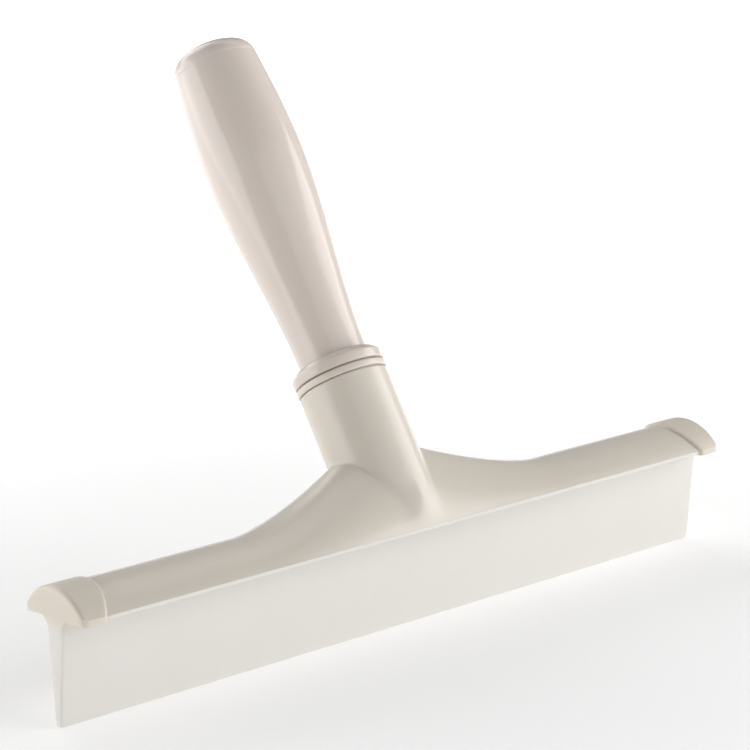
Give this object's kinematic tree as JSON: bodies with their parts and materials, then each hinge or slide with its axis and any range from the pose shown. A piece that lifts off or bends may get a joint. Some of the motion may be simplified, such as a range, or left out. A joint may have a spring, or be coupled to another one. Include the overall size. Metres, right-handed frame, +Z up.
{
  "type": "window cleaning squeegee",
  "caption": "Moulded squeegee head with a soft blade, soft end bumpers and a short screw-in grip that leans back, for wiping water off glass and worktops.",
  "frame": {"origin": "middle of the wiping edge", "axes": "+X along the head to the right, +Y to the rear where the grip leans, +Z up from the wiping edge to the grip"},
  "size_m": [0.245, 0.1147, 0.1678],
  "materials": {
    "head_frame": "satin moulded polypropylene",
    "squeegee_blade": "smooth soft-touch elastomer",
    "joint_seal": "smooth elastomer",
    "threaded_stem": "satin moulded polypropylene",
    "grip_shell": "satin moulded polypropylene",
    "grip_end_cap": "satin moulded polypropylene"
  },
  "bodies": {
    "head": {"head_frame": "head_frame", "squeegee_blade": "squeegee_blade"},
    "seal": {"joint_seal": "joint_seal"},
    "handle": {"threaded_stem": "threaded_stem", "grip_shell": "grip_shell", "grip_end_cap": "grip_end_cap"}
  },
  "joints": [
    {"name": "handle_travel", "type": "slide", "parent": "head", "child": "seal", "axis": [0, 0.5736, 0.8192], "range_m": [0, 0.0301]},
    {"name": "handle_turn", "type": "hinge", "parent": "seal", "child": "handle", "pos_m": [0, 0.0282, 0.0716], "axis": [0, 0.5736, 0.8192], "range_deg": [0, 2160]}
  ],
  "couplings": [
    {"joint": "handle_travel", "follows": "handle_turn", "m_per_rad": 0.00079577}
  ]
}
